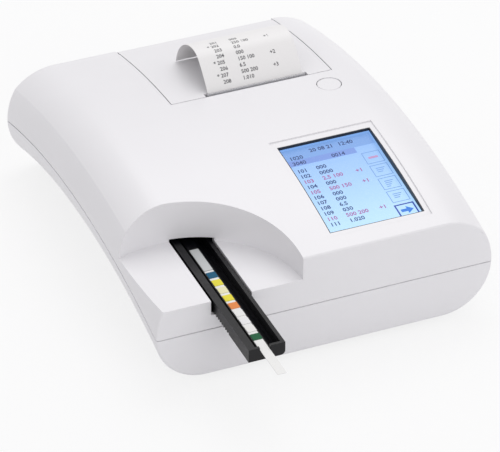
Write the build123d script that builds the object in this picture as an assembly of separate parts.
"""Bench-top urine test-strip analyzer, modelled as an assembly of separate pieces.

Millimetres. +X is the right of a person facing the front, +Y runs to the back, +Z is up.
The origin is the middle of the body on the desk, level with the bottoms of the rubber feet.

The two housings are one section swept along a low arch: every height that this file calls an
arch height is measured outwards from the parting surface, along the arch's own radius.
"""
from build123d import *
from math import asin, atan2, cos, degrees, hypot, pi, radians, sin, sqrt, tan
import os

# ---------------------------------------------------------------- body shell
body_width = 196.0
body_length = 237.0
arch_radius = 433.5          # radius of the parting surface, seen from the side
top_height = 30.0            # arch height of the top face
top_flat_half = 68.0         # half width of the flat part of the top face
crease_inset = 5.4           # the soft crease lies this far inside the body's side
crease_height = 19.5         # arch height of the crease
underside_depth = 28.5       # arch depth of the underside, and its rounding at the sides
ground_clearance = 2.8       # desk to the lower edge of the front face
wall = 2.5
edge_round = 1.5
parting_groove = 0.6
rim_thickness = 1.4
rim_height = 2.4
rim_root = 4.0
fit_gap = 0.15               # between fixed pieces that slip together
running_gap = 0.3            # between pieces that move past each other
shaft_gap = 0.05             # radial clearance of a shaft in its bearing

# ---------------------------------------------------------------- strip recess and tray slot
recess_inset = 24.3          # centre of the recess circle from the body's left side
recess_radius = 59.6
recess_front_offset = 1.0    # centre of the recess circle behind the front face
shelf_rise = 17.7            # shelf above the parting line at the front face
slot_left_gap = 1.6          # slot's walls beside the tray
slot_right_gap = 1.1
slot_floor_gap = 0.6         # slot floor below the tray
slot_head = 1.7              # slot in the recess wall, above the shelf

# ---------------------------------------------------------------- strip tray
tray_inset = 43.0            # middle of the tray from the body's left side
tray_width = 20.6
tray_height = 7.7
tray_sink = 0.6              # tray top below the shelf
tray_reach = 47.5            # tray's front end ahead of the front face
tray_length = 148.0
tray_travel = 105.0
tray_floor = 2.5
tray_left_rail = 4.2
tray_right_rail = 2.2
tray_end_wall = 1.7
tray_corner_round = 2.4
bench_margin = 0.55          # raised bench beside the strip that it carries
bench_slope = 3.8            # sloping flank right of the bench
bench_drop = 1.9             # bench top below the tray's top
strip_offset = 1.0           # strip's middle left of the tray's
strip_width = 5.1
strip_thickness = 0.35
strip_length = 100.0
strip_overhang = 22.3        # strip's handle ahead of the tray
pad_count = 9
pad_pitch = 7.6
pad_length = 5.3
pad_thickness = 0.35
first_pad_inset = 4.6
reference_length = 21.3
reference_thickness = 0.7

# ---------------------------------------------------------------- tray guide and drive
channel_wall = 2.0
channel_floor = 2.0
channel_front_gap = 0.3
channel_rear_gap = 3.0       # guide's end behind the tray when it is in
channel_lug_inset = 40.0     # rear screws ahead of the guide's end
channel_head_rise = 1.0      # channel walls above the wall slot, where they carry the optics
gear_module = 0.8
rack_pinion_teeth = 12
reduction_teeth = 32
motor_pinion_teeth = 12
pinion_inset = 4.5           # pinion ahead of the tray's rear end
rack_spare = 12.5            # rack beyond the tray's travel
pinion_width = 4.2
gear_width = 3.4
gear_stand = 10.7            # gears' left face beside the tray
drive_shaft_radius = 1.5
drive_ear = 1.7
tray_motor_radius = 9.0
tray_motor_length = 10.0
tray_motor_rise = 4.5
motor_shaft_radius = 1.0
motor_plate = 1.2
bracket_post_stand = 5.0     # post of the motor's bracket right of the gears' left face
bracket_foot_drop = 6.0      # bracket's foot below the parting line

# ---------------------------------------------------------------- optics
optics_gap = 1.1             # optical head behind the recess wall
optics_depth = 15.5
optics_top_gap = 2.3         # under the top face
optics_wall = 1.6
window_length = 11.0
window_width = 15.0
window_thickness = 1.0

# ---------------------------------------------------------------- display
display_inset = 63.2         # middle of the screen from the body's right side
display_setback = 49.1       # and behind the front face
lcd_width = 54.6
lcd_length = 72.5
bezel_wall = 0.5
bezel_end_depth = 1.9        # bezel wall above the glass at its two ends
ledge_depth = 0.8
ledge_side = 2.9
ledge_rear = 4.7
touch_border = 2.5
touch_thickness = 1.1
panel_border = 4.0
panel_thickness = 3.2
bracket_thickness = 1.5
bracket_tab = 7.0
display_boss_radius = 3.2

# ---------------------------------------------------------------- power button
button_inset = 38.7          # middle of the button from the body's right side
button_stand = 14.8          # and ahead of the printer lid
button_radius = 6.8
button_gap = 0.45
button_height = 6.2
button_flange = 1.3
button_flange_thickness = 1.2
button_stem_radius = 2.0
button_board_width = 10.8
button_post_offset = 10.5
button_post_radius = 2.2
button_travel = 0.6
button_board_drop = 13.5     # button board below the top face
button_spring_radius = 4.75
button_spring_wire = 0.5
button_spring_turns = 4.5

# ---------------------------------------------------------------- printer
lid_inset = 31.0             # lid's right edge from the body's right side
lid_width = 97.0
lid_length = 88.5            # lid's front edge from the rear face
lid_gap = 0.6
lid_thickness = 2.5
hinge_radius = 3.6
hinge_pin_radius = 1.5
hinge_ear = 7.0
paper_inset = 45.25          # middle of the paper from the lid's right edge
paper_width = 57.8
paper_thickness = 0.2
paper_exit_gap = 1.2         # between the paper and the lid's edge behind it
paper_stand = 2.15           # plane in which the paper rises, behind the lid's front edge
platen_radius = 5.0
platen_shaft_radius = 2.0
platen_drop = 9.9            # paper roller's axis below the top face
platen_overlap = 1.4         # rubber beyond the paper at each side
lid_arm = 1.8
lid_arm_gap = 0.8
frame_plate = 1.5
frame_gap = 1.3
frame_drop = 29.5            # frame's base below the paper roller's axis
printer_gear_module = 0.5
platen_teeth = 22
idler_teeth = 25
printer_pinion_teeth = 12
printer_gear_width = 2.6
printer_motor_radius = 6.8
printer_motor_length = 15.0
head_thickness = 1.0
head_height = 9.0
sink_thickness = 3.0
sink_height = 20.0
head_spring_length = 4.5
head_spring_radius = 2.2
head_ribbon_offset = 10.75   # print head's cable left of the paper's middle
ribbon_thickness = 0.3
ribbon_width = 14.0
tear_bar_thickness = 0.8
tear_bar_stand = 1.2         # teeth above the top face
tear_tooth_pitch = 1.5
tear_tooth_height = 0.8
roll_inset = 46.5            # roll's axis ahead of the rear face
roll_drop = 24.9             # and below the top face
roll_radius = 19.0
core_radius = 6.0
core_bore = 4.5
well_wall = 1.6

# ---------------------------------------------------------------- boards, sockets, fasteners, feet
board_thickness = 1.6
board_drop = 5.5             # main board below the parting line
board_left_gap = 10.6        # beside the tray slot
board_right_gap = 8.0        # beside the housing boss
board_front_inset = 14.5
board_length = 92.0
io_board_inset = 36.0        # socket board from the body's left side
io_board_depth = 25.0
io_board_rise = 0.85         # above the inside of the floor
io_board_margin = 25.0       # beyond the last socket's middle
jack_inset = 12.0            # first socket's middle from the board's left end
usb_pitch = 25.0             # and from each socket's middle to the next
serial_pitch = 30.0
socket_gap = 0.4
post_radius = 3.5
screw_radius = 1.3
screw_head_radius = 2.6
screw_head_height = 1.8
housing_boss_radius = 4.6
housing_boss_inset_x = 20.0
housing_boss_inset_y = 14.5
housing_joint_rise = 3.5     # where the bosses meet, above the parting line
housing_head_drop = 12.5     # screw heads below the parting line
foot_inset_x = 36.0
foot_inset_y = 21.5
foot_radius = 8.0
foot_height = 3.0
foot_inset = 1.2
foot_boss_wall = 1.6

# ---------------------------------------------------------------- derived frame of reference
half_width = body_width / 2
half_length = body_length / 2
arch_centre_z = ground_clearance - sqrt((arch_radius - underside_depth) ** 2 - half_length ** 2)
reach = 2 * body_width       # longer than anything that a cutting block has to cross


def arch_z(height, y):
    """Height above the desk of the surface at this arch height, at this Y."""
    return arch_centre_z + sqrt((arch_radius + height) ** 2 - y ** 2)


parting_z = arch_z(0, half_length)
shelf_z = parting_z + shelf_rise
recess_x = recess_inset - half_width
recess_y = -half_length + recess_front_offset

tray_x = tray_inset - half_width
tray_top = shelf_z - tray_sink
tray_bottom = tray_top - tray_height
tray_left = tray_x - tray_width / 2
tray_right = tray_x + tray_width / 2
tray_front = -half_length - tray_reach
tray_rear = tray_front + tray_length
strip_x = tray_x - strip_offset
slot_floor_z = tray_bottom - slot_floor_gap
slot_left = tray_left - slot_left_gap
slot_right = tray_right + slot_right_gap
slot_x = (slot_left + slot_right) / 2
pinion_y = tray_rear - pinion_inset
gear_plane_x = tray_left - gear_stand
channel_rear = tray_rear + tray_travel + channel_rear_gap
bench_z = tray_top - bench_drop
strip_front = tray_front - strip_overhang
strip_rear = strip_front + strip_length

pitch_radius = gear_module * rack_pinion_teeth / 2
addendum_share = 0.9
addendum = addendum_share * gear_module
rack_pitch_z = tray_bottom + addendum
pinion_z = rack_pitch_z - pitch_radius
pinion_left = tray_left - 0.4
reduction_radius = gear_module * reduction_teeth / 2
motor_pinion_radius = gear_module * motor_pinion_teeth / 2
drive_distance = reduction_radius + motor_pinion_radius
motor_z = pinion_z + tray_motor_rise
motor_y = pinion_y + sqrt(drive_distance ** 2 - tray_motor_rise ** 2)
motor_line_angle = degrees(atan2(motor_z - pinion_z, motor_y - pinion_y))

channel_top = shelf_z - wall - 0.1
channel_floor_z = tray_bottom - running_gap
channel_bottom = channel_floor_z - channel_floor
optics_z = shelf_z + slot_head + channel_head_rise
optics_front = recess_y + recess_radius + wall + optics_gap
optics_height = arch_z(top_height - wall, optics_front) - optics_top_gap - board_thickness - optics_z

display_x = half_width - display_inset
display_y = display_setback - half_length
display_half_width = lcd_width / 2 + bezel_wall
display_half_length = lcd_length / 2 + bezel_wall
display_radius = arch_radius + top_height
display_sag = display_half_length ** 2 / (2 * display_radius)
glass_drop = ledge_depth + display_sag + bezel_end_depth
display_tilt = degrees(asin(display_y / display_radius))

lid_right = half_width - lid_inset
lid_left = lid_right - lid_width
lid_front = half_length - lid_length
paper_x = lid_right - paper_inset
paper_y = lid_front + paper_stand
button_x = half_width - button_inset
button_y = lid_front - button_stand
head_ribbon_x = paper_x - head_ribbon_offset
platen_z = arch_z(top_height, paper_y) - platen_drop
frame_base_z = platen_z - frame_drop
roll_y = half_length - roll_inset
roll_z = arch_z(top_height, roll_y) - roll_drop
paper_left = paper_x - paper_width / 2
paper_right = paper_x + paper_width / 2
platen_y = paper_y + paper_thickness / 2 + running_gap + platen_radius
roller_left = paper_left - platen_overlap
roller_right = paper_right + platen_overlap
arm_left = roller_left - lid_arm_gap - lid_arm
arm_right = roller_right + lid_arm_gap
frame_left = arm_left - frame_gap - frame_plate
frame_right = arm_right + lid_arm + frame_gap
platen_gear_radius = printer_gear_module * platen_teeth / 2
idler_radius = printer_gear_module * idler_teeth / 2
printer_pinion_radius = printer_gear_module * printer_pinion_teeth / 2
idler_z = platen_z - platen_gear_radius - idler_radius
printer_motor_z = idler_z - idler_radius - printer_pinion_radius
printer_gear_left = frame_left - 1.0 - printer_gear_width
head_face_y = paper_y - paper_thickness / 2 - running_gap
sink_rear_y = head_face_y - head_thickness
sink_front_y = sink_rear_y - sink_thickness
frame_front_y = sink_front_y - head_spring_length - frame_plate
frame_rear_y = platen_y + 12.0
frame_top_z = arch_z(top_height - lid_thickness, paper_y) - 1.6
hinge_y = half_length - hinge_radius
hinge_z = arch_z(top_height, hinge_y) - hinge_radius - 0.4
well_radius = roll_radius + 0.5
well_left = paper_left - 1.2
well_right = paper_right + 1.2

housing_boss_x = half_width - housing_boss_inset_x
housing_boss_y = half_length - housing_boss_inset_y
housing_joint_z = parting_z + housing_joint_rise
housing_head_z = parting_z - housing_head_drop
foot_x = half_width - foot_inset_x
foot_y = half_length - foot_inset_y
board_z = parting_z - board_drop
board_left = slot_right + board_left_gap
board_right = housing_boss_x - board_right_gap
board_front = board_front_inset - half_length
board_rear = board_front + board_length
io_board_rear = half_length - wall - 1.0
io_board_front = io_board_rear - io_board_depth
io_board_left = io_board_inset - half_width
io_board_z = arch_z(wall - underside_depth, io_board_front) + io_board_rise
jack_x = io_board_left + jack_inset
usb_x = jack_x + usb_pitch
serial_x = usb_x + serial_pitch
io_board_right = serial_x + io_board_margin


# ---------------------------------------------------------------- small builders
def block(x0, x1, y0, y1, z0, z1):
    """Box between two corners."""
    middle = ((x0 + x1) / 2, (y0 + y1) / 2, (z0 + z1) / 2)
    return Pos(*middle) * Box(x1 - x0, y1 - y0, z1 - z0)


def rod_x(x0, x1, y, z, radius):
    """Cylinder along X."""
    return Pos((x0 + x1) / 2, y, z) * Rot(0, 90, 0) * Cylinder(radius, x1 - x0)


def rod_y(y0, y1, x, z, radius):
    """Cylinder along Y."""
    return Pos(x, (y0 + y1) / 2, z) * Rot(90, 0, 0) * Cylinder(radius, y1 - y0)


def rod_z(z0, z1, x, y, radius):
    """Cylinder along Z."""
    return Pos(x, y, (z0 + z1) / 2) * Cylinder(radius, z1 - z0)


def side_profile(points, x0, x1):
    """Prism along X from a closed polygon of (y, z) points."""
    face = make_face(Polyline(*[(x0, y, z) for y, z in points], close=True))
    return extrude(face, amount=x1 - x0, dir=(1, 0, 0))


def front_profile(points, y0, y1):
    """Prism along Y from a closed polygon of (x, z) points."""
    face = make_face(Polyline(*[(x, y0, z) for x, z in points], close=True))
    return extrude(face, amount=y1 - y0, dir=(0, 1, 0))


def fuse(pieces):
    """Union of a list of solids."""
    whole = pieces[0]
    for piece in pieces[1:]:
        whole = whole + piece
    return whole


def corners(x, y):
    """The four mirror positions of a point."""
    return [(sx * x, sy * y) for sx in (-1, 1) for sy in (-1, 1)]


# ---------------------------------------------------------------- the arched body
def circles_meet(centre_a, radius_a, centre_b, radius_b):
    """The right-hand intersection of two circles."""
    dx = centre_b[0] - centre_a[0]
    dy = centre_b[1] - centre_a[1]
    distance = hypot(dx, dy)
    along = (radius_a ** 2 - radius_b ** 2 + distance ** 2) / (2 * distance)
    across = sqrt(radius_a ** 2 - along ** 2)
    foot = (centre_a[0] + along * dx / distance, centre_a[1] + along * dy / distance)
    first = (foot[0] + across * dy / distance, foot[1] - across * dx / distance)
    second = (foot[0] - across * dy / distance, foot[1] + across * dx / distance)
    return max(first, second)


def arc_between(centre, radius, start, end):
    """Arc about a known centre."""
    first = atan2(start[1] - centre[1], start[0] - centre[0])
    last = atan2(end[1] - centre[1], end[0] - centre[0])
    middle = (first + last) / 2
    via = (centre[0] + radius * cos(middle), centre[1] + radius * sin(middle))
    return ThreePointArc(start, via, end)


def body_section(inset):
    """Cross section of the whole body, moved inwards by a wall: x, and arch height as y."""
    side_radius = (crease_height ** 2 + crease_inset ** 2) / (2 * crease_inset)
    side_centre = (half_width - side_radius, 0)
    rise = top_height - crease_height
    run = half_width - crease_inset - top_flat_half
    shoulder_radius = (run ** 2 + rise ** 2) / (2 * rise)
    shoulder_centre = (top_flat_half, top_height - shoulder_radius)
    belly_centre = (half_width - underside_depth, 0)
    crease = circles_meet(side_centre, side_radius - inset, shoulder_centre, shoulder_radius - inset)
    side_end = (half_width - inset, 0)
    top_end = (top_flat_half, top_height - inset)
    belly_end = (half_width - underside_depth, inset - underside_depth)
    right = [
        arc_between(side_centre, side_radius - inset, side_end, crease),
        arc_between(shoulder_centre, shoulder_radius - inset, crease, top_end),
        arc_between(belly_centre, underside_depth - inset, belly_end, side_end),
    ]
    left = [edge.mirror(Plane.YZ) for edge in right]
    flats = [
        Line(top_end, (-top_end[0], top_end[1])),
        Line(belly_end, (-belly_end[0], belly_end[1])),
    ]
    return make_face(right + left + flats)


def swept(section):
    """Sweep a section of (x, arch height) along the arch, past both ends of the body."""
    half_sweep = degrees(asin((half_length + 2 * wall) / (arch_radius - underside_depth)))
    upright = Plane.XZ * Pos(0, arch_centre_z + arch_radius) * section
    turned = revolve(upright, Axis((0, 0, arch_centre_z), (1, 0, 0)), 2 * half_sweep)
    return Pos(0, 0, arch_centre_z) * Rot(-half_sweep, 0, 0) * Pos(0, 0, -arch_centre_z) * turned


def arch_band(low, high, x0, x1, y0, y1):
    """Curved slab between two arch heights, cut to a rectangle in plan."""
    face = Pos((x0 + x1) / 2, (low + high) / 2) * Rectangle(x1 - x0, high - low)
    return swept(face) & block(x0 - 1, x1 + 1, y0, y1, -reach, reach)


def body_solid(inset):
    """The whole body as one solid, moved inwards by a wall on all six sides."""
    end = half_length - inset
    return swept(body_section(inset)) & block(-reach, reach, -end, end, -reach, reach)


def rounded_body():
    """The outer body with its front and rear edges rounded."""
    solid = body_solid(0)
    rims = [edge for edge in solid.edges() if abs(abs(edge.center().Y) - half_length) < 0.01]
    return fillet(rims, edge_round)


outer_body = rounded_body()
inner_body = body_solid(wall)
above_parting = arch_band(parting_groove / 2, 2 * top_height, -reach, reach, -half_length, half_length)
below_parting = arch_band(-2 * underside_depth, -parting_groove / 2, -reach, reach, -half_length, half_length)


def floor_post(x, y, top, radius=post_radius):
    """Post that grows out of the lower housing's floor."""
    return rod_z(0, top, x, y, radius) & outer_body


# ---------------------------------------------------------------- gears
def gear_face(module, teeth, first_tooth_angle, backlash):
    """Involute gear outline in the Y-Z plane; the first tooth points at the given angle."""
    pitch = module * teeth / 2
    base = pitch * cos(radians(20))
    root = pitch - 1.25 * module
    tip = pitch + addendum_share * module
    pitch_half = pi / (2 * teeth) - backlash / (2 * pitch)

    def roll(radius):
        ratio = min(1.0, base / radius)
        return sqrt(1 / ratio ** 2 - 1) - atan2(sqrt(1 - ratio ** 2), ratio)

    low = max(base, root + 0.05 * module)
    flank = [(radius, pitch_half + roll(pitch) - roll(radius)) for radius in (low, pitch, tip)]
    flank = [(root, 0.85 * flank[0][1])] + flank
    points = []
    for tooth in range(teeth):
        centre = radians(first_tooth_angle) + 2 * pi * tooth / teeth
        for radius, half in flank:
            points.append((0, radius * cos(centre - half), radius * sin(centre - half)))
        for radius, half in reversed(flank):
            points.append((0, radius * cos(centre + half), radius * sin(centre + half)))
    return make_face(Polyline(*points, close=True))


def gear(module, teeth, width, bore, x, y, z, first_tooth_angle, backlash=0.16):
    """Spur gear whose axis lies along X, with its left face at x."""
    blank = extrude(gear_face(module, teeth, first_tooth_angle, backlash), amount=width, dir=(1, 0, 0))
    return Pos(x, y, z) * blank - rod_x(x - 1, x + width + 1, y, z, bore)


def facing_gap(line_angle, teeth):
    """First tooth angle that puts a gap where the line of centres arrives."""
    return line_angle + 180 + 180 / teeth


# ---------------------------------------------------------------- springs, screws
def coil_spring(radius, wire, height, turns):
    """Round-wire compression spring standing on the origin."""
    pitch = (height - wire) / turns
    path = Pos(0, 0, wire / 2) * Helix(pitch, height - wire, radius)
    section = Plane(path @ 0, z_dir=path % 0) * Circle(wire / 2)
    return sweep(section, path=path, is_frenet=True)


def screw(x, y, under_head, length, head_up=True, radius=screw_radius):
    """Pan-head screw along Z; under_head is the plane that its head clamps."""
    way = 1 if head_up else -1
    head = rod_z(min(0, way * screw_head_height), max(0, way * screw_head_height), 0, 0, screw_head_radius)
    shank = rod_z(min(0, -way * length), max(0, -way * length), 0, 0, radius)
    slot_z = way * screw_head_height
    slot = block(-2.0, 2.0, -0.35, 0.35, slot_z - 0.6, slot_z + 0.6)
    return Pos(x, y, under_head) * (head + shank - slot)


# ---------------------------------------------------------------- housings
def recess_void():
    """Space of the scoop above the shelf."""
    return rod_z(shelf_z, shelf_z + reach, recess_x, recess_y, recess_radius)


def tray_slot():
    """Way through the front wall, the shelf and the recess wall for the tray."""
    recess_back = recess_y + recess_radius + 3 * wall
    front = block(slot_left, slot_right, -half_length - 1, recess_back, slot_floor_z, shelf_z + slot_head)
    return front


def display_plane(drop):
    """Plane parallel to the glass, a drop below the top face at the display's middle."""
    tilt = radians(display_tilt)
    radius = display_radius - drop
    origin = (display_x, radius * sin(tilt), arch_centre_z + radius * cos(tilt))
    return Plane(origin=origin, x_dir=(1, 0, 0), z_dir=(0, sin(tilt), cos(tilt)))


def display_slab(half_x, half_y, low, high):
    """Rectangular slab about the display's axis, between two depths below the top face."""
    middle = -(low + high) / 2
    return display_plane(0) * Pos(0, 0, middle) * Box(2 * half_x, 2 * half_y, abs(high - low))


def display_boss_places():
    """Screw positions of the display bracket, in the display plane."""
    x = lcd_width / 2 + panel_border + bracket_tab / 2
    y = lcd_length / 2 - bracket_tab
    return corners(x, y)


bracket_drop = glass_drop + touch_thickness + panel_thickness


def display_bosses():
    """Bosses under the top face that the display bracket is screwed to."""
    bosses = []
    for x, y in display_boss_places():
        boss = Pos(x, y, -bracket_drop / 2) * Cylinder(display_boss_radius, bracket_drop)
        hole = Pos(x, y, -bracket_drop) * Cylinder(screw_radius + shaft_gap, 2 * (bracket_drop - wall))
        bosses.append(display_plane(0) * (boss - hole))
    return (fuse(bosses) & outer_body) - display_slab(lcd_width / 2 + panel_border + 0.2,
                                                      lcd_length, 0.2, bracket_drop + 1)


def lid_hole():
    """Opening in the top face and rear edge that the printer lid closes."""
    roof = block(lid_left - lid_gap, lid_right + lid_gap, lid_front - lid_gap, hinge_y,
                 arch_z(0, 0), reach)
    barrel = rod_x(lid_left - lid_gap, lid_right + lid_gap, hinge_y, hinge_z, hinge_radius + lid_gap)
    behind = block(lid_left - lid_gap, lid_right + lid_gap, hinge_y - 1, half_length + 1, hinge_z, reach)
    return roof + barrel + behind


def hinge_ears():
    """Blocks at both sides of the lid that hold the hinge pin."""
    low = hinge_z - hinge_radius - 1
    left = block(lid_left - lid_gap - hinge_ear, lid_left - lid_gap, hinge_y - 5, half_length, low, reach)
    right = block(lid_right + lid_gap, lid_right + lid_gap + hinge_ear, hinge_y - 5, half_length, low, reach)
    return (left + right) & outer_body


def hinge_bore():
    """Bore of the hinge pin, closed at both ends."""
    return rod_x(lid_left - hinge_ear, lid_right + hinge_ear, hinge_y, hinge_z, hinge_pin_radius + shaft_gap)


def button_hole():
    """Round hole for the power button."""
    return rod_z(arch_z(0, 0), reach, button_x, button_y, button_radius + button_gap)


def button_posts():
    """Two posts under the top face that carry the button board."""
    low = arch_z(top_height, button_y) - button_board_drop
    posts = [rod_z(low, reach, button_x + side * button_post_offset, button_y, button_post_radius) & outer_body
             for side in (-1, 1)]
    return fuse(posts)


def upper_bosses():
    """Screw bosses inside the upper housing's four corners."""
    bosses = []
    for x, y in corners(housing_boss_x, housing_boss_y):
        boss = rod_z(housing_joint_z, reach, x, y, housing_boss_radius) & outer_body
        bosses.append(boss - rod_z(housing_joint_z - 1, housing_joint_z + 8, x, y, screw_radius + shaft_gap))
    return fuse(bosses)


def upper_housing():
    """Top shell with the strip recess, the screen window, the lid opening and the button hole."""
    shell = (outer_body - inner_body) & above_parting
    liner = rod_z(shelf_z - wall, reach, recess_x, recess_y, recess_radius + wall) & outer_body
    bay = display_slab(lcd_width / 2 + panel_border + bracket_tab + running_gap,
                       lcd_length / 2 + panel_border + running_gap, wall, bracket_drop + 2 * bracket_thickness)
    shell = shell + ((liner - bay) & above_parting)
    shell = shell + upper_bosses()
    shell = shell + display_bosses() + hinge_ears() + button_posts()
    shell = shell - recess_void() - tray_slot() - lid_hole() - button_hole() - hinge_bore()
    window = display_slab(display_half_width, display_half_length, -top_height, glass_drop)
    ledge = arch_band(top_height - ledge_depth, 2 * top_height,
                      display_x - display_half_width - ledge_side,
                      display_x + display_half_width + ledge_side,
                      display_y - display_half_length - ledge_side,
                      display_y + display_half_length + ledge_rear)
    return shell - window - ledge


def rim():
    """Inner lip of the lower housing, which closes the parting groove."""
    outside = wall + fit_gap
    inside = outside + rim_thickness
    side = half_width - outside
    end = half_length - outside
    lip = arch_band(-rim_root, rim_height, -side, side, -end, end)
    hollow = arch_band(-2 * rim_root, 2 * rim_height, -(half_width - inside), half_width - inside,
                       -(half_length - inside), half_length - inside)
    return lip - hollow


def lower_bosses():
    """Tall tubes that the housing screws run up through."""
    return fuse([floor_post(x, y, housing_joint_z, housing_boss_radius)
                 for x, y in corners(housing_boss_x, housing_boss_y)])


def housing_screw_holes():
    """Clearance holes and head recesses of the housing screws."""
    holes = []
    for x, y in corners(housing_boss_x, housing_boss_y):
        holes.append(rod_z(-1, housing_joint_z + 1, x, y, screw_radius + fit_gap))
        holes.append(rod_z(-1, housing_head_z, x, y, screw_head_radius + fit_gap))
    return fuse(holes)


def foot_bosses():
    """Flat pads under the body that the rubber feet are let into."""
    low = foot_height - foot_inset
    pads = []
    for x, y in corners(foot_x, foot_y):
        pad = rod_z(low, arch_z(wall - underside_depth, y) - 0.3, x, y, foot_radius + foot_boss_wall)
        pads.append(pad - rod_z(-1, foot_height, x, y, foot_radius + fit_gap))
    return fuse(pads)


def main_board_posts():
    """Screw places of the main board."""
    inset = 5.0
    return [(x, y) for x in (board_left + inset, board_right - inset)
            for y in (board_front + inset, board_rear - inset)]


def io_board_posts():
    """Support places of the socket board."""
    return [(io_board_left + 4, io_board_front + 4), (io_board_right - 4, io_board_front + 4)]


def channel_lugs():
    """Screw places of the tray guide, beside its walls."""
    outside = channel_wall + post_radius + 0.3
    front = -half_length + 26
    rear = channel_rear - channel_lug_inset
    return [(slot_left - outside, front), (slot_right + outside, front),
            (slot_left - outside, rear), (slot_right + outside, rear)]


def frame_post_places():
    """Posts under the printer frame."""
    return [(x, y) for x in (frame_left + 8, frame_right - 8) for y in (frame_front_y + 6, frame_rear_y - 5)]


def well_post_places():
    """Posts under the paper well."""
    return [(x, y) for x in (well_left + 6, well_right - 6) for y in (roll_y - 9, roll_y + 9)]


well_bottom = roll_z - well_radius - well_wall
bracket_foot_z = parting_z - bracket_foot_drop
bracket_post = (gear_plane_x + bracket_post_stand, motor_y + 1.5)


def lower_posts():
    """All posts that carry the boards, the printer, the tray guide and the drive."""
    posts = [floor_post(x, y, board_z) for x, y in main_board_posts()]
    posts += [floor_post(x, y, io_board_z) for x, y in io_board_posts()]
    posts += [floor_post(x, y, channel_bottom) for x, y in channel_lugs()]
    posts += [floor_post(x, y, frame_base_z) for x, y in frame_post_places()]
    posts += [floor_post(x, y, well_bottom) for x, y in well_post_places()]
    posts.append(floor_post(bracket_post[0], bracket_post[1], bracket_foot_z))
    return fuse(posts)


def post_pilot_holes():
    """Blind screw holes in the tops of the posts that take a screw."""
    depth = 6.0
    holes = [rod_z(board_z - depth, board_z + 1, x, y, screw_radius + shaft_gap)
             for x, y in main_board_posts()]
    holes += [rod_z(channel_bottom - depth, channel_bottom + 1, x, y, screw_radius + shaft_gap)
              for x, y in channel_lugs()]
    return fuse(holes)


socket_z = io_board_z + board_thickness
jack_size = (9.5, 13.0, 11.0)
usb_size = (12.0, 16.0, 11.0)
serial_size = (31.0, 12.0, 12.2)


def socket_openings():
    """Openings in the rear wall for the three sockets."""
    cuts = []
    for x, size in ((jack_x, jack_size), (usb_x, usb_size), (serial_x, serial_size)):
        half = size[0] / 2 + socket_gap
        cuts.append(block(x - half, x + half, half_length - 3 * wall, half_length + 1,
                          socket_z - socket_gap, socket_z + size[2] + socket_gap))
    return fuse(cuts)


def lower_housing():
    """Bottom shell with its rim, feet pads, posts and socket openings."""
    shell = (outer_body - inner_body) & below_parting
    shell = shell + rim() + lower_bosses() + foot_bosses() + lower_posts()
    return shell - housing_screw_holes() - post_pilot_holes() - socket_openings()


def rubber_feet():
    """Four round rubber feet with a chamfered tread."""
    feet = []
    for x, y in corners(foot_x, foot_y):
        foot = rod_z(0, foot_height, x, y, foot_radius)
        tread = foot.edges().filter_by(GeomType.CIRCLE).sort_by(Axis.Z)[0]
        feet.append(chamfer(tread, 0.6))
    return feet


def housing_screws():
    """Four screws that hold the housings together from below."""
    length = housing_joint_z + 7 - housing_head_z
    return [screw(x, y, housing_head_z, length, head_up=False) for x, y in corners(housing_boss_x, housing_boss_y)]


# ---------------------------------------------------------------- display group
def display_bezel():
    """Black frame between the glass and the edge of the screen window."""
    outside = display_slab(display_half_width - fit_gap, display_half_length - fit_gap, -top_height, glass_drop)
    opening = display_slab(lcd_width / 2, lcd_length / 2, -2 * top_height, glass_drop + 1)
    cap = arch_band(-top_height, top_height - ledge_depth - fit_gap, -reach, reach, -half_length, half_length)
    return (outside - opening) & cap


def touch_panel():
    """Resistive touch glass over the screen."""
    return display_slab(lcd_width / 2 + touch_border, lcd_length / 2 + touch_border,
                        glass_drop, glass_drop + touch_thickness)


def display_panel():
    """Liquid crystal module with its metal can."""
    top = glass_drop + touch_thickness
    can = display_slab(lcd_width / 2 + panel_border, lcd_length / 2 + panel_border, top, top + panel_thickness)
    return fillet(can.edges().filter_by(Axis(can.center(), display_plane(0).z_dir)), 1.0)


def display_bracket():
    """Sheet metal frame that clamps the display to the upper housing."""
    half_x = lcd_width / 2 + panel_border + bracket_tab
    half_y = lcd_length / 2 + panel_border
    plate = display_slab(half_x, half_y, bracket_drop, bracket_drop + bracket_thickness)
    window = display_slab(lcd_width / 2 - 8, lcd_length / 2 - 12, bracket_drop - 1, bracket_drop + 3)
    side_cut = display_slab(bracket_tab, half_y - 2.6 * bracket_tab, bracket_drop - 1, bracket_drop + 3)
    offset_x = half_x + bracket_tab * 0.3
    plate = plate - window - Pos(offset_x, 0, 0) * side_cut - Pos(-offset_x, 0, 0) * side_cut
    for x, y in display_boss_places():
        plate = plate - display_plane(bracket_drop) * Pos(x, y, 0) * Cylinder(screw_radius + fit_gap, 8)
    for x, y in corners(housing_boss_x, housing_boss_y):
        plate = plate - rod_z(housing_joint_z, reach, x, y, housing_boss_radius + running_gap)
    return plate


def display_screws():
    """Four short screws of the display bracket."""
    screws = []
    seat = display_plane(bracket_drop + bracket_thickness)
    for x, y in display_boss_places():
        screws.append(seat * Pos(x, y, 0) * screw(0, 0, 0, 5.5, head_up=False, radius=screw_radius))
    return screws


# ---------------------------------------------------------------- button group
button_top = arch_z(top_height, button_y)
button_board_top = button_top - button_board_drop
switch_height = 4.3


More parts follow.
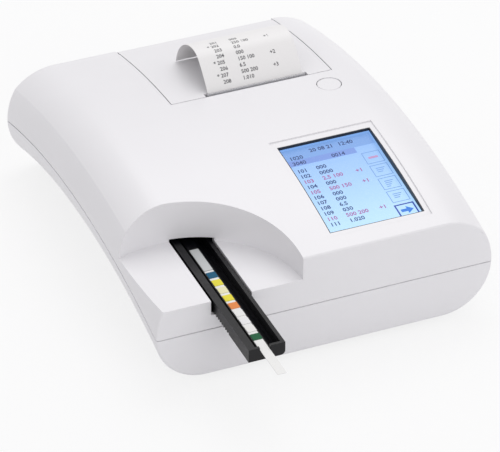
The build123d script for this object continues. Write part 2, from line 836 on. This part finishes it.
def power_button():
    """Flush round cap with a flange under the top face and a stem above the switch."""
    skin_z = arch_z(top_height - wall, button_y) - 0.35
    cap = rod_z(skin_z - button_flange_thickness, reach, button_x, button_y, button_radius)
    dome = arch_band(-top_height, top_height - 0.1, -reach, reach, -half_length, half_length)
    flange = rod_z(skin_z - button_flange_thickness, skin_z, button_x, button_y, button_radius + button_flange)
    stem_low = button_board_top + switch_height + button_travel + 0.1
    stem = rod_z(stem_low, skin_z, button_x, button_y, button_stem_radius)
    body = (cap & dome) + flange + stem
    crown = [edge for edge in body.edges() if edge.center().Z > skin_z + 1.5 and edge.length > button_radius * 3]
    return fillet(crown, 0.3)


def button_board():
    """Small board under the button."""
    half_x = button_post_offset + button_post_radius + 1
    half_y = button_board_width / 2
    return block(button_x - half_x, button_x + half_x, button_y - half_y, button_y + half_y,
                 button_board_top - board_thickness, button_board_top)


def button_switch():
    """Tact switch on the button board."""
    body = block(button_x - 3, button_x + 3, button_y - 3, button_y + 3, button_board_top, button_board_top + 3.3)
    return body + rod_z(button_board_top + 3.3, button_board_top + switch_height, button_x, button_y, 1.7)


spring_foot_z = button_board_top
spring_top_z = arch_z(top_height - wall, button_y) - 0.35 - button_flange_thickness


def button_spring():
    """Return spring round the switch and the button's stem."""
    height = spring_top_z - spring_foot_z
    spring = coil_spring(button_spring_radius, button_spring_wire, height, button_spring_turns)
    return Pos(button_x, button_y, spring_foot_z) * spring


# ---------------------------------------------------------------- tray group
def rack_gap(y):
    """Cutter for one gap of the rack, which opens downwards at this Y."""
    slope = tan(radians(20))
    half_pitch = pi * gear_module / 4 + 0.08
    low = half_pitch + slope * (addendum + 0.5)
    deep = addendum + 0.1 * gear_module + 0.25
    high = half_pitch - slope * deep
    points = [(y - low, tray_bottom - 0.5), (y + low, tray_bottom - 0.5),
              (y + high, rack_pitch_z + deep), (y - high, rack_pitch_z + deep)]
    return side_profile(points, tray_left - 1, tray_left + tray_left_rail)


def rack_gap_places():
    """Centres of the rack's gaps: one stands over the pinion at rest."""
    pitch = pi * gear_module
    front = pinion_y - tray_travel - rack_spare
    places = []
    step = 0
    while pinion_y - step * pitch > front:
        places.append(pinion_y - step * pitch)
        step += 1
    step = 1
    while pinion_y + step * pitch < tray_rear:
        places.append(pinion_y + step * pitch)
        step += 1
    return places


def strip_tray():
    """Black drawer that carries the strip, with a rack under its left rail."""
    tray = block(tray_left, tray_right, tray_front, tray_rear, tray_bottom, tray_top)
    low_right = [edge for edge in tray.edges().filter_by(Axis.Y)
                 if edge.center().X > tray_x and edge.center().Z < tray_top - 1]
    tray = fillet(low_right, tray_corner_round)
    bench_left = strip_x - strip_width / 2 - bench_margin
    bench_right = strip_x + strip_width / 2 + bench_margin
    floor_z = tray_bottom + tray_floor
    rail_in = tray_left + tray_left_rail
    wall_in = tray_right - tray_right_rail
    trough = [(rail_in, tray_top + 1), (rail_in, floor_z + 1.2), (bench_left, floor_z + 1.2),
              (bench_left, bench_z), (bench_right, bench_z), (bench_right + bench_slope, floor_z + 0.6),
              (wall_in, floor_z), (wall_in, tray_top + 1)]
    tray = tray - front_profile(trough, tray_front + tray_end_wall, tray_rear - tray_end_wall)
    notch_half = strip_width / 2 + 0.45
    tray = tray - block(strip_x - notch_half, strip_x + notch_half, tray_front - 1,
                        tray_front + tray_end_wall + 1, bench_z, tray_top + 1)
    groove_half = strip_width / 2 + 0.2
    tray = tray - block(strip_x - groove_half, strip_x + groove_half, tray_front - 1,
                        reference_rear + 0.2, bench_z - strip_thickness - 0.1, bench_z + 1)
    tray = tray - block(strip_x - groove_half, strip_x + groove_half, strip_rear + 0.1,
                        reference_rear + 0.2, bench_z - reference_thickness, bench_z + 1)
    for y in rack_gap_places():
        tray = tray - rack_gap(y)
    return tray


strip_z = bench_z - strip_thickness - 0.1
reference_rear = strip_rear + 0.3 + reference_length


def reference_pad():
    """White calibration tile let into the tray behind the strip."""
    half = strip_width / 2
    low = bench_z - reference_thickness
    return block(strip_x - half, strip_x + half, strip_rear + 0.3, reference_rear, low, low + reference_thickness + 0.1)


def test_strip():
    """White plastic backing of the test strip."""
    half = strip_width / 2
    return block(strip_x - half, strip_x + half, strip_front, strip_rear, strip_z, strip_z + strip_thickness)


def reagent_pads():
    """Row of reagent pads on the strip."""
    half = strip_width / 2
    pads = []
    for index in range(pad_count):
        centre = strip_rear - first_pad_inset - index * pad_pitch
        low = strip_z + strip_thickness
        pads.append(block(strip_x - half, strip_x + half, centre - pad_length / 2, centre + pad_length / 2,
                          low, low + pad_thickness))
    return pads


def tray_channel():
    """Black guide under the shelf and inside the body, with ears for the drive shaft."""
    front = -half_length + wall + channel_front_gap
    left = slot_left - channel_wall
    right = slot_right + channel_wall
    optics_rear = optics_front + optics_depth
    guide = block(left, right, front, channel_rear, channel_bottom, channel_top)
    tower = block(left, right, optics_front, optics_rear, channel_bottom, optics_z)
    for x, y in channel_lugs():
        inward = right - 0.5 if x > slot_x else left + 0.5
        outward = x + post_radius if x > slot_x else x - post_radius
        lug = block(min(inward, outward), max(inward, outward), y - 4, y + 4, channel_bottom, channel_floor_z)
        guide = guide + lug - rod_z(channel_bottom - 1, channel_floor_z + 1, x, y, screw_radius + fit_gap)
    guide = guide + tower - block(slot_left, slot_right, front - 1, channel_rear - channel_wall,
                                  channel_floor_z, reach)
    ear_low = pinion_z - 3.6
    pinion_right = pinion_left + pinion_width
    for x in (pinion_left - 0.5 - drive_ear, pinion_right + 0.5):
        ear = block(x, x + drive_ear, pinion_y - 3.4, pinion_y + 3.4, ear_low, channel_bottom + 1)
        guide = guide + ear
    clear = pitch_radius + addendum + 0.5
    guide = guide - block(pinion_left - 0.5, pinion_right + 0.5, pinion_y - clear, pinion_y + clear,
                          channel_bottom - 1, channel_floor_z + 1)
    shaft = rod_x(gear_plane_x, pinion_right + 4, pinion_y, pinion_z, drive_shaft_radius + shaft_gap)
    return guide - shaft


def channel_screws():
    """Four screws of the tray guide."""
    return [screw(x, y, channel_floor_z, channel_floor + 5) for x, y in channel_lugs()]


def drive_shaft():
    """Steel shaft of the rack pinion and the reduction gear."""
    right = pinion_left + pinion_width + 0.5 + drive_ear + 0.6
    return rod_x(gear_plane_x - 0.5, right, pinion_y, pinion_z, drive_shaft_radius)


def rack_pinion():
    """Pinion under the tray's rack; one tooth points straight up at rest."""
    return gear(gear_module, rack_pinion_teeth, pinion_width, drive_shaft_radius, pinion_left,
                pinion_y, pinion_z, 90)


def reduction_gear():
    """Large gear on the drive shaft."""
    wheel = gear(gear_module, reduction_teeth, gear_width, drive_shaft_radius, gear_plane_x,
                 pinion_y, pinion_z, motor_line_angle)
    for index in range(5):
        angle = radians(90 + 72 * index)
        y = pinion_y + 7.2 * cos(angle)
        z = pinion_z + 7.2 * sin(angle)
        wheel = wheel - rod_x(gear_plane_x - 1, gear_plane_x + gear_width + 1, y, z, 2.4)
    return wheel


def tray_motor_pinion():
    """Pinion of the tray motor, with its shaft."""
    face_x = gear_plane_x - 1.0 - motor_plate
    pinion = gear(gear_module, motor_pinion_teeth, gear_width, motor_shaft_radius, gear_plane_x,
                  motor_y, motor_z, facing_gap(motor_line_angle, motor_pinion_teeth))
    return pinion + rod_x(face_x - 3, gear_plane_x + gear_width + 0.5, motor_y, motor_z, motor_shaft_radius)


def tray_motor():
    """Small stepper motor that drives the tray."""
    face_x = gear_plane_x - 1.0 - motor_plate
    can = rod_x(face_x - tray_motor_length, face_x, motor_y, motor_z, tray_motor_radius)
    bore = rod_x(face_x - 4, face_x + 1, motor_y, motor_z, motor_shaft_radius + shaft_gap)
    return fillet(can.edges().filter_by(GeomType.CIRCLE), 0.8) - bore


def motor_bracket():
    """Angled plate between the tray motor and its post."""
    face_x = gear_plane_x - 1.0 - motor_plate
    half = tray_motor_radius + 1.5
    plate = block(face_x, face_x + motor_plate, motor_y - half, motor_y + half, bracket_foot_z, motor_z + half)
    foot = block(face_x, bracket_post[0] + post_radius, bracket_post[1] - 4, bracket_post[1] + 4,
                 bracket_foot_z, bracket_foot_z + motor_plate)
    hole = rod_x(face_x - 1, face_x + 2, motor_y, motor_z, motor_shaft_radius + 1.5)
    return plate + foot - hole


# ---------------------------------------------------------------- optics group
def optical_head():
    """Light-tight housing over the tray's path."""
    left = slot_left - channel_wall
    right = slot_right + channel_wall
    rear = optics_front + optics_depth
    top = optics_z + optics_height
    head = block(left, right, optics_front, rear, optics_z, top)
    head = fillet(head.edges().filter_by(Axis.Z), 1.5)
    hollow = block(left + optics_wall, right - optics_wall, optics_front + optics_wall, rear - optics_wall,
                   optics_z + 3 * optics_wall, top + 1)
    centre_y = (optics_front + rear) / 2
    port = block(slot_x - 4, slot_x + 4, centre_y - 3, centre_y + 3, optics_z - 1, optics_z + 5 * optics_wall)
    seat = block(slot_x - window_width / 2 - fit_gap, slot_x + window_width / 2 + fit_gap,
                 centre_y - window_length / 2 - fit_gap, centre_y + window_length / 2 + fit_gap,
                 optics_z - 1, optics_z + window_thickness)
    return head - hollow - port - seat


def optics_window():
    """Clear window that keeps drops out of the optical head."""
    centre_y = optics_front + optics_depth / 2
    return block(slot_x - window_width / 2, slot_x + window_width / 2, centre_y - window_length / 2,
                 centre_y + window_length / 2, optics_z, optics_z + window_thickness)


def optics_board():
    """Board with the lamps and the sensor, which closes the optical head."""
    top = optics_z + optics_height
    rear = optics_front + optics_depth
    board = block(slot_left - channel_wall, slot_right + channel_wall, optics_front, rear, top, top + board_thickness)
    centre_y = (optics_front + rear) / 2
    parts = [board, block(slot_x - 3, slot_x + 3, centre_y - 3, centre_y + 3, top - 3, top)]
    for side in (-1, 1):
        parts.append(rod_z(top - 4, top, slot_x + side * 7.5, centre_y, 1.6))
    return fuse(parts)


# ---------------------------------------------------------------- printer group
def lid_plan(x0, x1, front):
    """Piece of the body's top skin in the lid's outline."""
    skin = arch_band(top_height - lid_thickness, top_height, x0, x1, front, hinge_y)
    return skin


def printer_lid():
    """Lid with a barrel at the rear and two arms that carry the paper roller."""
    lid = lid_plan(lid_left, lid_right, lid_front)
    exit_half = paper_width / 2 + 2.3
    lid = lid - block(paper_x - exit_half, paper_x + exit_half, lid_front - 1,
                      paper_y + paper_thickness / 2 + paper_exit_gap, -reach, reach)
    barrel = rod_x(lid_left, lid_right, hinge_y, hinge_z, hinge_radius)
    neck_top = arch_z(top_height, hinge_y)
    neck = side_profile([(hinge_y - 8, arch_z(top_height, hinge_y - 8) - 0.5), (hinge_y, neck_top - 0.5),
                         (hinge_y, hinge_z), (hinge_y - 2.5, hinge_z),
                         (hinge_y - 8, arch_z(top_height - lid_thickness, hinge_y - 8))],
                        lid_left, lid_right)
    lid = lid + neck + barrel
    for x in (arm_left, arm_right):
        arm_top = arch_z(top_height - lid_thickness, platen_y) + 0.8
        arm = block(x, x + lid_arm, platen_y - 3.4, platen_y + 3.4, platen_z, arm_top)
        lid = lid + arm + rod_x(x, x + lid_arm, platen_y, platen_z, 3.4)
    for x in (lid_left + 9, (lid_left + lid_right) / 2, lid_right - 9):
        rib = arch_band(top_height - lid_thickness - 1.2, top_height - lid_thickness + 0.5, x - 0.7, x + 0.7,
                        platen_y + 8, roll_y - 12)
        lid = lid + rib
    lid = lid - rod_x(lid_left - 1, lid_right + 1, hinge_y, hinge_z, hinge_pin_radius + shaft_gap)
    return lid - rod_x(arm_left - 1, arm_right + lid_arm + 1, platen_y, platen_z, platen_shaft_radius + shaft_gap)


def lid_hinge_pin():
    """Steel pin of the lid."""
    return rod_x(lid_left - hinge_ear + 1, lid_right + hinge_ear - 1, hinge_y, hinge_z, hinge_pin_radius)


def platen_shaft():
    """Steel shaft of the paper roller."""
    return rod_x(printer_gear_left - 0.4, frame_right + frame_plate + 1, platen_y, platen_z, platen_shaft_radius)


def platen_rubber():
    """Rubber sleeve that feeds the paper."""
    sleeve = rod_x(roller_left, roller_right, platen_y, platen_z, platen_radius)
    return sleeve - rod_x(roller_left - 1, roller_right + 1, platen_y, platen_z, platen_shaft_radius)


def platen_gear():
    """Gear on the end of the paper roller."""
    return gear(printer_gear_module, platen_teeth, printer_gear_width, platen_shaft_radius, printer_gear_left,
                platen_y, platen_z, facing_gap(90, platen_teeth), backlash=0.12)


def idler_gear():
    """Gear between the motor's pinion and the paper roller."""
    return gear(printer_gear_module, idler_teeth, printer_gear_width, 1.0 + shaft_gap, printer_gear_left,
                platen_y, idler_z, facing_gap(90, idler_teeth), backlash=0.12)


def printer_pinion():
    """Pinion of the printer motor, with its shaft."""
    pinion = gear(printer_gear_module, printer_pinion_teeth, printer_gear_width, 0.75, printer_gear_left,
                  platen_y, printer_motor_z, 90, backlash=0.12)
    return pinion + rod_x(printer_gear_left - 0.3, frame_left + frame_plate + 3, platen_y, printer_motor_z, 0.75)


def printer_motor():
    """Stepper motor of the printer, on the inside of the frame's left plate."""
    face_x = frame_left + frame_plate
    can = rod_x(face_x, face_x + printer_motor_length, platen_y, printer_motor_z, printer_motor_radius)
    bore = rod_x(face_x - 1, face_x + 4, platen_y, printer_motor_z, 0.75 + shaft_gap)
    return fillet(can.edges().filter_by(GeomType.CIRCLE), 0.6) - bore


def frame_cheek(x):
    """Side plate of the printer frame, with an open slot for the paper roller's shaft."""
    outline = [(frame_front_y, frame_base_z), (frame_rear_y, frame_base_z), (frame_rear_y, platen_z - 8),
               (platen_y + 6, platen_z + 1), (platen_y + 6, platen_z + 4), (frame_front_y, platen_z + 4)]
    plate = side_profile(outline, x, x + frame_plate)
    half = platen_shaft_radius + running_gap
    slot = rod_x(x - 1, x + 3, platen_y, platen_z, half)
    slot = slot + side_profile([(platen_y - half, platen_z), (platen_y + half, platen_z),
                                (platen_y + half + 0.8, platen_z + 6), (platen_y - half, platen_z + 6)],
                               x - 1, x + 3)
    return plate - slot


def printer_frame():
    """Chassis of the printer: two cheeks, a base, a front wall and the idler's stud."""
    left = frame_left
    right = frame_right + frame_plate
    base = block(left, right, frame_front_y, frame_rear_y, frame_base_z, frame_base_z + frame_plate)
    front = block(left, right, frame_front_y, frame_front_y + frame_plate, frame_base_z, frame_top_z)
    frame = fuse([frame_cheek(frame_left), frame_cheek(frame_right), base, front])
    shaft_hole = rod_x(left - 1, left + 3, platen_y, printer_motor_z, 0.75 + 0.5)
    stud = rod_x(printer_gear_left - 0.4, left + 1, platen_y, idler_z, 1.0)
    cable_half = ribbon_width / 2 + 1
    cable = block(head_ribbon_x - cable_half, head_ribbon_x + cable_half, frame_front_y - 1, frame_front_y + 3,
                  frame_base_z + 4, frame_base_z + 8)
    return frame - shaft_hole - cable + stud


def head_heat_sink():
    """Aluminium plate behind the print head."""
    low = platen_z + 4 - sink_height
    sink = block(roller_left + 0.2, roller_right - 0.2, sink_front_y, sink_rear_y, low, platen_z + 4)
    return chamfer(sink.edges().filter_by(Axis.X), 0.4)


def print_head():
    """Ceramic print head with its raised line of dots."""
    low = platen_z - head_height / 2
    head = block(paper_left, paper_right, sink_rear_y, head_face_y - 0.2, low, low + head_height)
    bead = block(paper_left + 2, paper_right - 2, head_face_y - 0.3, head_face_y, platen_z - 0.8, platen_z + 0.8)
    return head + bead


def head_springs():
    """Two springs that press the print head to the paper."""
    front = frame_front_y + frame_plate
    z = platen_z - 2
    return [Pos(x, front, z) * Rot(-90, 0, 0) * coil_spring(head_spring_radius, 0.5, head_spring_length, 4.5)
            for x in (paper_x - 16, paper_x + 16)]


def tear_bar():
    """Serrated metal strip that the paper is torn on."""
    rear = paper_y - paper_thickness / 2 - 0.5
    front = rear - tear_bar_thickness
    edge_z = arch_z(top_height, paper_y) + tear_bar_stand
    half = paper_width / 2 + 0.9
    count = int(2 * half / tear_tooth_pitch)
    pitch = 2 * half / count
    root_z = edge_z - tear_tooth_height
    outline = [(paper_x - half, frame_top_z), (paper_x - half, root_z)]
    for index in range(count):
        start = paper_x - half + index * pitch
        outline += [(start + pitch / 2, edge_z), (start + pitch, root_z)]
    outline.append((paper_x + half, frame_top_z))
    blade = front_profile(outline, front, rear)
    shelf = block(paper_x - half, paper_x + half, frame_front_y, rear, frame_top_z, frame_top_z + tear_bar_thickness)
    return blade + shelf


def paper_well():
    """Bucket under the lid that the paper roll lies in."""
    front = roll_y - well_radius - well_wall
    rear = roll_y + well_radius + well_wall
    low = well_bottom
    high = roll_z + 12
    outline = block(well_left - well_wall, well_right + well_wall, front, rear, low, high)
    outline = outline - block(well_left - 3, well_right + 3, front - 1, roll_y - 10, roll_z + 2, high + 1)
    pocket = rod_x(well_left, well_right, roll_y, roll_z, well_radius)
    pocket = pocket + block(well_left, well_right, roll_y - well_radius, roll_y + well_radius, roll_z, high + 1)
    under = rod_x(well_left - 3, well_right + 3, roll_y, roll_z, well_radius + well_wall)
    under = under + block(well_left - 3, well_right + 3, front - 1, rear + 1, roll_z, high + 1)
    feet = [block(x - 4.5, x + 4.5, y - 4.5, y + 4.5, low, roll_z - 10) for x, y in well_post_places()]
    shell = (outline & under) + (fuse(feet) & outline)
    return shell - pocket


def paper_roll():
    """Roll of thermal paper."""
    left = paper_left + 0.1
    right = paper_right - 0.1
    return rod_x(left, right, roll_y, roll_z, roll_radius) - rod_x(left - 1, right + 1, roll_y, roll_z, core_radius)


def paper_core():
    """Plastic core of the roll."""
    left = paper_left + 0.1
    right = paper_right - 0.1
    return rod_x(left, right, roll_y, roll_z, core_radius) - rod_x(left - 1, right + 1, roll_y, roll_z, core_bore)


# The paper's line runs from the top of the roll to the underside of the platen: the common
# tangent that crosses between the two circles. Angles are measured in the Y-Z plane.
wrap_radius = platen_radius + running_gap + paper_thickness / 2
leave_radius = roll_radius + running_gap + paper_thickness / 2
centre_distance = hypot(roll_y - platen_y, roll_z - platen_z)
centre_angle = atan2(roll_z - platen_z, roll_y - platen_y)
cross_angle = asin((wrap_radius + leave_radius) / centre_distance)
tangent_angle = centre_angle + cross_angle
wrap_angle = tangent_angle - pi / 2
wrap_point = (platen_y + wrap_radius * cos(wrap_angle), platen_z + wrap_radius * sin(wrap_angle))
leave_point = (roll_y - leave_radius * cos(wrap_angle), roll_z - leave_radius * sin(wrap_angle))


def ribbon(edges, thickness, x0, x1):
    """Sheet of one thickness that follows a line in the Y-Z plane, between two X positions."""
    flat = [Wire(edges)] if isinstance(edges, list) else [edges]
    face = trace(flat, thickness)
    standing = Plane.YZ * face
    return Pos(x0, 0, 0) * extrude(standing, amount=x1 - x0, dir=(1, 0, 0))


def paper_web():
    """Stretch of paper from the roll to the paper roller."""
    share = running_gap / hypot(leave_point[0] - wrap_point[0], leave_point[1] - wrap_point[1])
    end_point = tuple(near + share * (far - near) for near, far in zip(wrap_point, leave_point))
    return ribbon([Line(leave_point, end_point)], paper_thickness, paper_left, paper_right)


paper_exit_z = arch_z(top_height, paper_y) - 1.0
curl_start = paper_exit_z + 1.0 - 2.3     # where the paper starts to bend over the lid's edge
# the curl's bends from there to its end: radius, and turn in degrees
curl_bends = [(4.0, 35.8), (78.0, 14.5), (10.5, 36.0), (23.5, 22.0), (31.0, 56.4)]


def paper_side(side):
    """Edges of the printed paper's outline at this distance to the left of its middle line."""
    start_angle = wrap_angle if wrap_angle > 0 else wrap_angle + 2 * pi
    radius = wrap_radius + side
    turns = [(platen_y + radius * cos(angle), platen_z + radius * sin(angle))
             for angle in (start_angle, (start_angle + pi) / 2, pi)]
    edges = [ThreePointArc(*turns), Line(turns[2], (paper_y - side, curl_start))]
    y, z, heading = paper_y, curl_start, pi / 2
    for bend, turn in curl_bends:
        centre_y = y + bend * sin(heading)
        centre_z = z - bend * cos(heading)
        ways = [heading - share * radians(turn) for share in (0, 0.5, 1)]
        edges.append(ThreePointArc(*[(centre_y - (bend + side) * sin(way), centre_z + (bend + side) * cos(way))
                                     for way in ways]))
        heading = ways[2]
        y = centre_y - bend * sin(heading)
        z = centre_z + bend * cos(heading)
    return edges


def paper_strip():
    """Printed paper: round the platen, up past the print head, and curled back over the lid."""
    left = paper_side(paper_thickness / 2)
    right = paper_side(-paper_thickness / 2)
    ends = [Line(left[0] @ 0, right[0] @ 0), Line(left[-1] @ 1, right[-1] @ 1)]
    standing = Plane.YZ * make_face(left + right + ends)
    return Pos(paper_left, 0, 0) * extrude(standing, amount=paper_width, dir=(1, 0, 0))


# ---------------------------------------------------------------- boards and sockets
def main_board():
    """Main circuit board."""
    board = block(board_left, board_right, board_front, board_rear, board_z, board_z + board_thickness)
    board = fillet(board.edges().filter_by(Axis.Z), 2.0)
    for x, y in main_board_posts():
        board = board - rod_z(board_z - 1, board_z + 3, x, y, screw_radius + fit_gap)
    return board


def board_screws():
    """Four screws of the main board."""
    return [screw(x, y, board_z + board_thickness, board_thickness + 5) for x, y in main_board_posts()]


def board_components():
    """Chips, connectors, capacitors and the buzzer on the main board."""
    top = board_z + board_thickness
    left = board_left + 23
    right = board_right - 9
    chips = [(head_ribbon_x - 1, board_front + 44, 7, 7, 1.4), (display_x, board_front + 59, 5, 9, 1.1),
             (display_x, board_front + 29, 5, 5, 1.1), (right, board_front + 54, 4, 4, 1.6),
             (left, board_front + 64, 4, 5, 1.6), (left, board_front + 24, 3, 4, 1.6),
             (right, board_front + 24, 6, 4, 2.2)]
    parts = [block(x - a, x + a, y - b, y + b, top, top + h) for x, y, a, b, h in chips]
    for x in (display_x, head_ribbon_x):
        half = ribbon_width / 2 + 1.5
        parts.append(block(x - half, x + half, ribbon_plug_y - plug_depth, ribbon_plug_y, top, top + plug_height))
    parts.append(block(board_left + 6, board_left + 16, board_rear - 24, board_rear - 18, top, top + 5.5))
    for index in range(3):
        parts.append(rod_z(top, top + 9, board_left + 15 + 11 * index, board_front + 10, 3.6))
    parts.append(rod_z(top, top + 6.5, board_right - 18, board_front + 12, 6.0))
    return parts


plug_height = 2.6
plug_depth = 5.0
ribbon_plug_y = board_rear - 2
ribbon_plug_z = board_z + board_thickness + plug_height / 2


def display_ribbon():
    """Flat cable from the screen to the main board."""
    under = display_plane(bracket_drop + bracket_thickness + 0.4).origin
    slope = tan(radians(-display_tilt))
    start_y = display_y + 18
    start_z = under.Z + slope * (start_y - under.Y)
    far_y = board_rear + 7
    points = [(start_y, start_z), (far_y, start_z + slope * (far_y - start_y)),
              (far_y, ribbon_plug_z), (ribbon_plug_y, ribbon_plug_z)]
    line = FilletPolyline(*points, radius=[5.0, 3.0])
    half = ribbon_width / 2
    return ribbon(line, ribbon_thickness, display_x - half, display_x + half)


def head_ribbon():
    """Flat cable from the print head to the main board."""
    sink_low = platen_z + 4 - sink_height
    start_y = sink_front_y - ribbon_thickness / 2
    points = [(start_y, sink_low + 4), (start_y, frame_base_z + 6), (frame_front_y - 4, frame_base_z + 6),
              (frame_front_y - 4, ribbon_plug_z), (ribbon_plug_y, ribbon_plug_z)]
    line = FilletPolyline(*points, radius=[1.5, 1.5, 2.0])
    half = ribbon_width / 2
    return ribbon(line, ribbon_thickness, head_ribbon_x - half, head_ribbon_x + half)


def io_board():
    """Small board at the rear that carries the sockets."""
    return block(io_board_left, io_board_right, io_board_front, io_board_rear,
                 io_board_z, io_board_z + board_thickness)


def socket_shell(x, size):
    """Outer block of a socket, flush with the rear face."""
    return block(x - size[0] / 2, x + size[0] / 2, half_length - size[1], half_length, socket_z, socket_z + size[2])


def power_jack():
    """Round low-voltage inlet with its centre pin."""
    body = socket_shell(jack_x, jack_size)
    z = socket_z + jack_size[2] / 2
    bore = rod_y(half_length - 9.5, half_length + 1, jack_x, z, 3.2)
    pin = rod_y(half_length - 10.5, half_length - 0.8, jack_x, z, 1.05)
    return body - bore + pin


def usb_port():
    """Square data socket with its tongue."""
    body = socket_shell(usb_x, usb_size)
    z = socket_z + usb_size[2] / 2
    cavity = block(usb_x - 4.3, usb_x + 4.3, half_length - 9, half_length + 1, z - 3.9, z + 3.9)
    tongue = block(usb_x - 2.8, usb_x + 2.8, half_length - 10, half_length - 1.2, z - 1.6, z + 1.6)
    return body - cavity + tongue


def serial_port():
    """Nine-way serial socket with its two jack screws."""
    z = socket_z + serial_size[2] / 2
    body = socket_shell(serial_x, serial_size) - block(serial_x - 20, serial_x + 20, half_length - 1.2,
                                                       half_length + 1, z - 10, z + 10)
    nose = front_profile([(serial_x - 8.2, z + 4), (serial_x + 8.2, z + 4), (serial_x + 7.0, z - 4),
                          (serial_x - 7.0, z - 4)], half_length - 2, half_length + 0.0)
    body = body + nose
    for row, count in ((1.4, 5), (-1.4, 4)):
        for index in range(count):
            x = serial_x + (index - (count - 1) / 2) * 2.77
            body = body - rod_y(half_length - 5, half_length + 1, x, z + row, 0.55)
    for side in (-1, 1):
        post = rod_y(half_length - 2, half_length, serial_x + side * 12.5, z, 2.3)
        body = body + post - rod_y(half_length - 5, half_length + 1, serial_x + side * 12.5, z, 1.2)
    return body


# ---------------------------------------------------------------- assembly
nodes = {
    "lower_housing": lower_housing,
    "upper_housing": upper_housing,
    "rubber_feet": rubber_feet,
    "housing_screws": housing_screws,
    "main_board": main_board,
    "board_components": board_components,
    "board_screws": board_screws,
    "io_board": io_board,
    "power_jack": power_jack,
    "usb_port": usb_port,
    "serial_port": serial_port,
    "display_bezel": display_bezel,
    "touch_panel": touch_panel,
    "display_panel": display_panel,
    "display_bracket": display_bracket,
    "display_screws": display_screws,
    "display_ribbon": display_ribbon,
    "power_button": power_button,
    "button_board": button_board,
    "button_switch": button_switch,
    "button_spring": button_spring,
    "tray_channel": tray_channel,
    "channel_screws": channel_screws,
    "strip_tray": strip_tray,
    "reference_pad": reference_pad,
    "test_strip": test_strip,
    "reagent_pads": reagent_pads,
    "drive_shaft": drive_shaft,
    "rack_pinion": rack_pinion,
    "reduction_gear": reduction_gear,
    "tray_motor_pinion": tray_motor_pinion,
    "tray_motor": tray_motor,
    "motor_bracket": motor_bracket,
    "optical_head": optical_head,
    "optics_window": optics_window,
    "optics_board": optics_board,
    "printer_lid": printer_lid,
    "lid_hinge_pin": lid_hinge_pin,
    "platen_shaft": platen_shaft,
    "platen_rubber": platen_rubber,
    "platen_gear": platen_gear,
    "idler_gear": idler_gear,
    "printer_pinion": printer_pinion,
    "printer_motor": printer_motor,
    "printer_frame": printer_frame,
    "head_heat_sink": head_heat_sink,
    "print_head": print_head,
    "head_springs": head_springs,
    "head_ribbon": head_ribbon,
    "tear_bar": tear_bar,
    "paper_well": paper_well,
    "paper_roll": paper_roll,
    "paper_core": paper_core,
    "paper_web": paper_web,
    "paper_strip": paper_strip,
}

os.makedirs("parts", exist_ok=True)
for name, make in nodes.items():
    made = make()
    if isinstance(made, list):
        made = Compound([solid for piece in made for solid in piece.solids()])
    elif len(made.solids()) == 1:
        made = made.solid()
    export_step(made, os.path.join("parts", name + ".step"))
